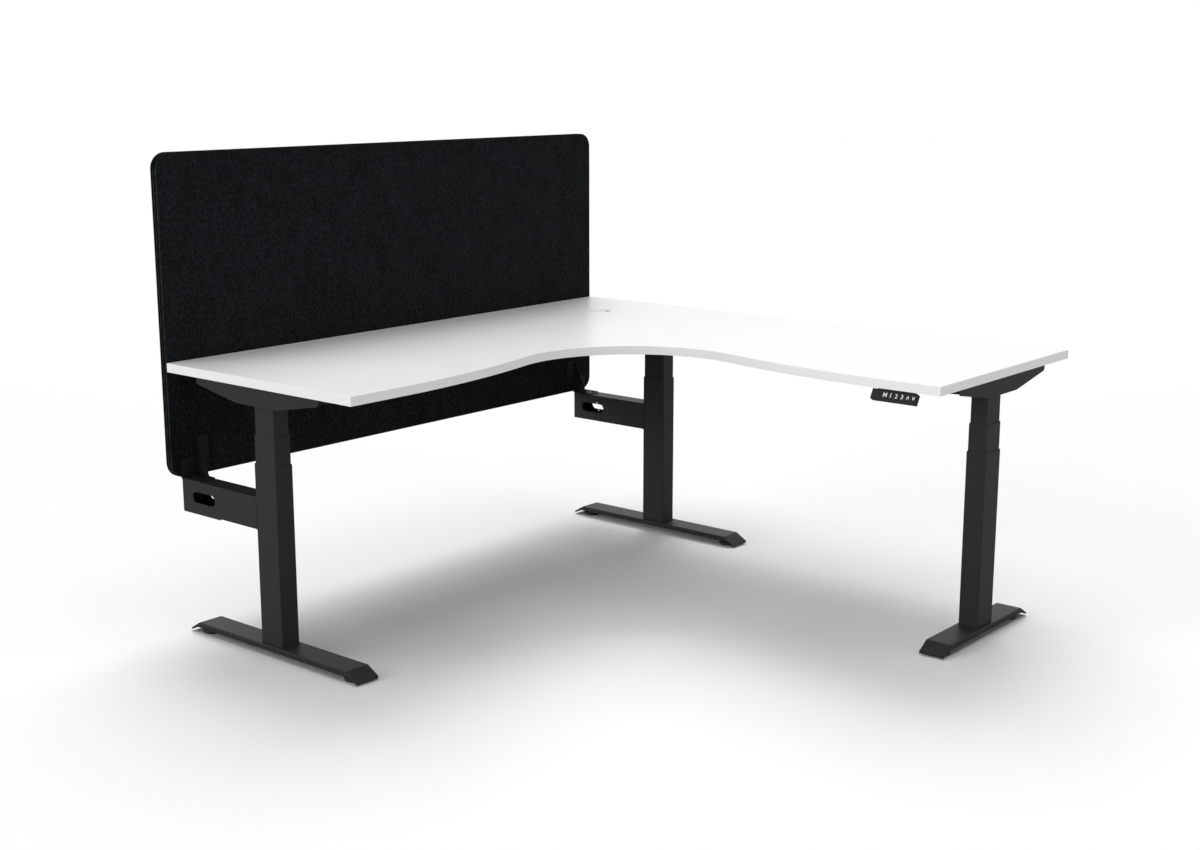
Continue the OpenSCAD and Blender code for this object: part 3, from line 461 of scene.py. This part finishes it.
# Soft-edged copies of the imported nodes

softEdges = {
    "black_coat": {"width": 0.0006, "segments": 2},
    "white_board": {"width": 0.0001, "segments": 1},
    "white_edge": {"width": 0.0005, "segments": 2},
    "port_plastic": {"width": 0.0004, "segments": 2},
    "guide_plastic": {"width": 0.0002, "segments": 1, "clamp": True},
    "case_plastic": {"width": 0.0008, "segments": 3},
    "socket_plastic": {"width": 0.0003, "segments": 2},
    "key_plastic": {"width": 0.0005, "segments": 3},
    "glide_plastic": {"width": 0.0006, "segments": 2},
    "bright_steel": {"width": 0.0004, "segments": 1},
    "zinc_fasteners": {"width": 0.0003, "segments": 1},
    "motor_metal": {"width": 0.001, "segments": 2},
    "felt": {"width": 0.0024, "segments": 4, "shortest": 0.0015},
}
mergeGap = 0.000002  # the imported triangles' corners come this close
flatAngle = radians(0.4)  # triangles that meet at less are merged into one face
sharpAngle = radians(34)
roundAngle = radians(60)  # more than any step inside a round
flatWeight = 80  # how far a large face outweighs a small one in the shading
# the brackets and their screws take a coat darker than the legs' as painted shade, the shadow the
# screen casts on them; it is also matter
ownFinish = {"screen_brackets_dressed": "bracket_black_painted_shade", "bracket_screws_dressed": "bracket_black_painted_shade",
             "bracket_screw_heads": "bracket_black_painted_shade"}  # matter than the legs' coat


def roundEdges(bm, edges, width, segments, clamp=False):
    # the round's faces are marked for the edge mask of wear and of the felt's painted highlight,
    # in a layer made before the bevel
    wear = bm.faces.layers.float["softEdge"]
    made = bmesh.ops.bevel(bm, geom=edges, offset=width, offset_type="OFFSET",
                           segments=segments, profile=0.5, affect="EDGES", material=-1,
                           clamp_overlap=clamp)
    for face in made["faces"]:
        face[wear] = 1.0
    return made["faces"]


def keepCorners(bm):
    # an edge left square keeps its two faces flat in the shading, and so does a round's end
    wear = bm.faces.layers.float["softEdge"]
    for edge in bm.edges:
        rounded = any(face[wear] > 0.5 for face in edge.link_faces)
        edge.smooth = edge.calc_face_angle(0) < (roundAngle if rounded else sharpAngle)


def meshObject(bm, name, finish):
    mesh = bpy.data.meshes.new(name)
    bm.to_mesh(mesh)
    bm.free()
    mesh.materials.append(finish)
    piece = bpy.data.objects.new(name, mesh)
    scene.collection.objects.link(piece)
    return piece


def curveShape(curve):
    # the mesh of a text or a curve, before it gets its place
    holder = bpy.data.objects.new(curve.name, curve)
    scene.collection.objects.link(holder)
    mesh = bpy.data.meshes.new_from_object(
        holder.evaluated_get(bpy.context.evaluated_depsgraph_get()))
    bpy.data.objects.remove(holder)
    bm = bmesh.new()
    bm.from_mesh(mesh)
    return bm


def finishPiece(bm, name, body, slotName):
    # smooth shading in which the large faces stay flat
    for face in bm.faces:
        face.smooth = True
    piece = meshObject(bm, name, materials[ownFinish.get(name, slotName)])
    weighted = piece.modifiers.new("evenNormals", "WEIGHTED_NORMAL")
    weighted.keep_sharp = True
    weighted.weight = flatWeight
    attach(piece, body)
    return piece


# The feet are folded sheet, so their long edges and flaps turn over a wider round.
# The folds are the longer edges that bend and start within reach of the top
foldSet = {"nodes": {"left_foot", "corner_foot", "right_foot"}, "width": 0.0024, "segments": 4,
           "shortest": 0.03, "bend": 20, "reach": 0.0005, "skipBelow": 0.0015}


def roundFolds(bm, node, s):
    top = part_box(node)[1][2]
    folds = [e for e in bm.edges if e.calc_length() > s["shortest"]
             and e.calc_face_angle(0) > radians(s["bend"])
             and any(v.co.z > top - s["reach"] for v in e.verts)]
    made = roundEdges(bm, folds, s["width"], s["segments"])
    return {v for f in made for v in f.verts}


def softCopy(node):
    slotName = slotOf[node]
    s = softEdges[slotName]
    bm = bmesh.new()
    bm.from_mesh(nodes[node].data)
    bm.faces.layers.float.new("softEdge")
    bmesh.ops.remove_doubles(bm, verts=bm.verts, dist=mergeGap)
    bmesh.ops.dissolve_limit(bm, angle_limit=flatAngle, verts=bm.verts, edges=bm.edges)
    folded, shortest = set(), s.get("shortest", 0)
    if node in foldSet["nodes"]:
        folded, shortest = roundFolds(bm, node, foldSet), foldSet["skipBelow"]
    sharp = [e for e in bm.edges if e.is_manifold and e.calc_face_angle(0) > sharpAngle
             and e.calc_length() > shortest and not folded.intersection(e.verts)]
    roundEdges(bm, sharp, s["width"], s["segments"], s.get("clamp", False))
    keepCorners(bm)
    piece = finishPiece(bm, node + "_dressed", bodyOf[node], slotName)
    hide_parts(node)


keptPlain = {"base_pipes", "right_base_pipe", "left_stage_screw", "corner_stage_screw",
             "right_stage_screw", "left_drive_screw", "corner_drive_screw", "right_drive_screw"}
for nodeName in sorted(nodes):
    if nodeName in keptPlain:
        nodes[nodeName].data.materials.clear()
        nodes[nodeName].data.materials.append(materials[slotOf[nodeName]])
    else:
        softCopy(nodeName)
print("soft copies made")


# Legends on the handset's keys

legendSet = {"lean": 30, "keyThickness": 0.003, "letterHeight": 0.0122, "letterWidth": 0.0112,
             "arrowHeight": 0.0088, "arrowWidth": 0.0088, "stroke": 0.0019, "thickness": 0.0001,
             "bold": 0.011, "mergeGap": 0.00001, "notch": 1.7, "tip": 0.6}
legends = {"key_memory": "M", "key_one": "1", "key_two": "2", "key_three": "3",
           "key_up": "up", "key_down": "down"}


def letterShape(letter, s):
    curve = bpy.data.curves.new(letter, "FONT")
    curve.body = letter
    curve.extrude = s["thickness"] / 2
    curve.offset = s["bold"]
    bm = curveShape(curve)
    bmesh.ops.remove_doubles(bm, verts=bm.verts, dist=s["mergeGap"])
    tall = max(v.co.y for v in bm.verts) - min(v.co.y for v in bm.verts)
    wide = max(v.co.x for v in bm.verts) - min(v.co.x for v in bm.verts)
    scale = s["letterHeight"] / tall
    bmesh.ops.scale(bm, vec=(min(scale, s["letterWidth"] / wide), scale, 1), verts=bm.verts)
    return bm


def arrowShape(turn, s):
    half, tall, stroke = s["arrowWidth"] / 2, s["arrowHeight"], s["stroke"]
    notch, tip = tall - s["notch"] * stroke, s["tip"] * stroke
    bm = bmesh.new()
    ends = ((-half, 0), (stroke - half, 0), (0, notch), (half - stroke, 0), (half, 0),
            (tip, tall), (-tip, tall))
    face = bm.faces.new([bm.verts.new((x, turn * y, 0)) for x, y in ends])
    made = bmesh.ops.extrude_face_region(bm, geom=[face])
    raised = [g for g in made["geom"] if isinstance(g, bmesh.types.BMVert)]
    bmesh.ops.translate(bm, vec=(0, 0, s["thickness"]), verts=raised)
    bmesh.ops.recalc_face_normals(bm, faces=bm.faces)
    return bm


def centreShape(bm):
    for axis in range(3):
        low = min(v.co[axis] for v in bm.verts)
        high = max(v.co[axis] for v in bm.verts)
        shift = [0, 0, 0]
        shift[axis] = -(low + high) / 2
        bmesh.ops.translate(bm, vec=shift, verts=bm.verts)


def makeLegend(key, sign, s):
    if sign in ("up", "down"):
        bm = arrowShape(1 if sign == "up" else -1, s)
    else:
        bm = letterShape(sign, s)
    centreShape(bm)
    lean = radians(s["lean"])
    outward = Vector((-cos(lean), 0, sin(lean)))
    upFace = Vector((sin(lean), 0, cos(lean)))
    across = Vector((0, -1, 0))
    turn = Matrix((across, upFace, outward)).transposed().to_4x4()
    low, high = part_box(key)
    middle = (Vector(low) + Vector(high)) / 2
    place = Matrix.Translation(middle + outward * (s["keyThickness"] / 2 + s["thickness"] / 2))
    bmesh.ops.transform(bm, matrix=place @ turn, verts=bm.verts)
    bmesh.ops.recalc_face_normals(bm, faces=bm.faces)
    piece = meshObject(bm, key + "_legend", materials["legend"])
    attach(piece, bodyOf[key])


for key, sign in legends.items():
    makeLegend(key, sign, legendSet)
print("legends made")


# Socket-head screws in the screen brackets

screwSet = {"faceY": 0.887, "armTop": 0.442, "armX": 0.835, "radius": 0.0042, "height": 0.0026,
            "crown": 0.72, "sides": 24, "recess": 0.0021, "flats": 0.87, "depth": 0.0014,
            "round": 0.0005, "roundSteps": 3}
# each screw's distance from the arm's middle line and its height over the arm
screwRows = ((0.054, 0.098), (0.054, 0.040), (-0.020, 0.033), (0.004, 0.033))


def socketHead(s):
    # domed head with a six-sided recess; its foot is at the origin and it looks along +Z
    crown = s["radius"] * s["crown"]
    bm = bmesh.new()
    bmesh.ops.create_cone(bm, cap_ends=True, segments=s["sides"], radius1=s["radius"],
                          radius2=crown, depth=s["height"])
    top = max(bm.faces, key=lambda f: f.calc_center_median().z)
    rim = list(top.edges)
    bmesh.ops.inset_region(bm, faces=[top], thickness=crown - s["recess"])
    for v in top.verts:  # the inner ring becomes a hexagon
        angle = v.co.xy.angle_signed(Vector((1, 0)), 0) % (pi / 3) - pi / 6
        v.co.xy = v.co.xy.normalized() * (s["recess"] * s["flats"] / cos(angle))
    pocket = bmesh.ops.extrude_face_region(bm, geom=[top])
    floorVerts = [g for g in pocket["geom"] if isinstance(g, bmesh.types.BMVert)]
    bmesh.ops.translate(bm, vec=(0, 0, -s["depth"]), verts=floorVerts)
    bmesh.ops.delete(bm, geom=[top], context="FACES_ONLY")
    bmesh.ops.bevel(bm, geom=rim, offset=s["round"], offset_type="OFFSET",
                    segments=s["roundSteps"], profile=0.5, affect="EDGES", material=-1,
                    clamp_overlap=True)
    bmesh.ops.translate(bm, vec=(0, 0, s["height"] / 2), verts=bm.verts)
    bmesh.ops.recalc_face_normals(bm, faces=bm.faces)
    mesh = bpy.data.meshes.new("socketHead")
    bm.to_mesh(mesh)
    bm.free()
    return mesh


def makeBracketHeads(s):
    head = socketHead(s)
    bm = bmesh.new()
    for side in (-1, 1):
        for across, up in screwRows:
            place = Matrix.Translation((side * (s["armX"] - across), s["faceY"], s["armTop"] + up))
            bm.from_mesh(head)
            fresh = list(bm.verts)[-len(head.vertices):]
            bmesh.ops.transform(bm, matrix=place @ Matrix.Rotation(pi / 2, 4, "X"), verts=fresh)
    finishPiece(bm, "bracket_screw_heads", "base", "black_coat")


makeBracketHeads(screwSet)
print("screw heads made")


# Weld beads where the arms meet the columns

weldSet = {"radius": 0.0019, "columnY": 0.570, "low": 0.352, "high": 0.442, "middleX": 0.835,
           "halfWidth": 0.0281, "steps": 40, "ripple": 0.09, "rippleTurn": 2.1, "sides": 3}


def makeWeld(name, side, s):
    # a rippled bead round the arm's section
    corners = ((-1, s["low"]), (1, s["low"]), (1, s["high"]), (-1, s["high"]))
    curve = bpy.data.curves.new(name, "CURVE")
    curve.dimensions = "3D"
    curve.bevel_depth = s["radius"]
    curve.bevel_resolution = s["sides"]
    line = curve.splines.new("POLY")
    points = []
    for index, (sign, z) in enumerate(corners):
        nextSign, nextZ = corners[(index + 1) % 4]
        for step in range(s["steps"]):
            t = step / s["steps"]
            x = side * s["middleX"] + s["halfWidth"] * (sign + (nextSign - sign) * t)
            thick = 1 + s["ripple"] * sin(s["rippleTurn"] * len(points))
            points.append((x, s["columnY"], z + (nextZ - z) * t, thick))
    line.points.add(len(points) - 1)
    for point, (x, y, z, thick) in zip(line.points, points):
        point.co = (x, y, z, 1)
        point.radius = thick
    line.use_cyclic_u = True
    finishPiece(curveShape(curve), name, "base", "black_coat")


makeWeld("left_arm_weld", -1, weldSet)
makeWeld("corner_arm_weld", 1, weldSet)
print("welds made")


# Floor, world and lamps. The floor sends back less light than it shows to the camera

stageSet = {"floorSize": 30, "floorColour": 253, "bounceColour": 195, "world": 0.182}


def makeStage(s):
    mat = newMaterial("paleFloor")
    tree = mat.node_tree
    path = addNode(tree, "ShaderNodeLightPath")
    diffuse = addNode(tree, "ShaderNodeBsdfDiffuse")
    wire(tree, mixColour(tree, path.outputs["Is Camera Ray"], shade(s["bounceColour"]),
                         shade(s["floorColour"])), diffuse.inputs["Color"])
    out = addNode(tree, "ShaderNodeOutputMaterial")
    wire(tree, diffuse.outputs[0], out.inputs["Surface"])
    bm = bmesh.new()
    bmesh.ops.create_grid(bm, x_segments=1, y_segments=1, size=s["floorSize"])
    meshObject(bm, "floor", mat)


def makeWorld(s):
    world = bpy.data.worlds.new("studio")
    world.use_nodes = True
    tree = world.node_tree
    tree.nodes.clear()
    path = addNode(tree, "ShaderNodeLightPath")
    clear = mathNode(tree, "MAXIMUM", path.outputs["Is Glossy Ray"],
                     path.outputs["Is Transmission Ray"])
    seen = mathNode(tree, "MAXIMUM", path.outputs["Is Camera Ray"], clear)
    back = addNode(tree, "ShaderNodeBackground")
    wire(tree, (1, 1, 1, 1), back.inputs["Color"])
    wire(tree, mapRange(tree, seen, 0, 1, s["world"], 1.0), back.inputs["Strength"])
    out = addNode(tree, "ShaderNodeOutputWorld")
    wire(tree, back.outputs[0], out.inputs["Surface"])
    scene.world = world


def makeSun(name, s):
    data = bpy.data.lights.new(name, "SUN")
    data.angle = radians(s["spread"])
    data.energy = s["power"]
    lamp = bpy.data.objects.new(name, data)
    lamp.rotation_euler = (radians(90 - s["height"]), 0, radians(s["heading"] + 90))
    scene.collection.objects.link(lamp)


# heading is the compass side the light comes from, counted from +X towards +Y
suns = {
    "behind": {"heading": 42, "height": 56, "spread": 38, "power": 1.36},
    "overhead": {"heading": 180, "height": 86, "spread": 60, "power": 1.09},
    "farLeft": {"heading": 140, "height": 18, "spread": 40, "power": 0.82},
    "lowLeft": {"heading": 170, "height": 6, "spread": 24, "power": 0.86},
    "lowFront": {"heading": 270, "height": 6, "spread": 24, "power": 0.66},
}

makeStage(stageSet)
makeWorld(stageSet)
for lampName, s in suns.items():
    makeSun(lampName, s)
scene.view_settings.view_transform = "Standard"
print("stage and lamps set")
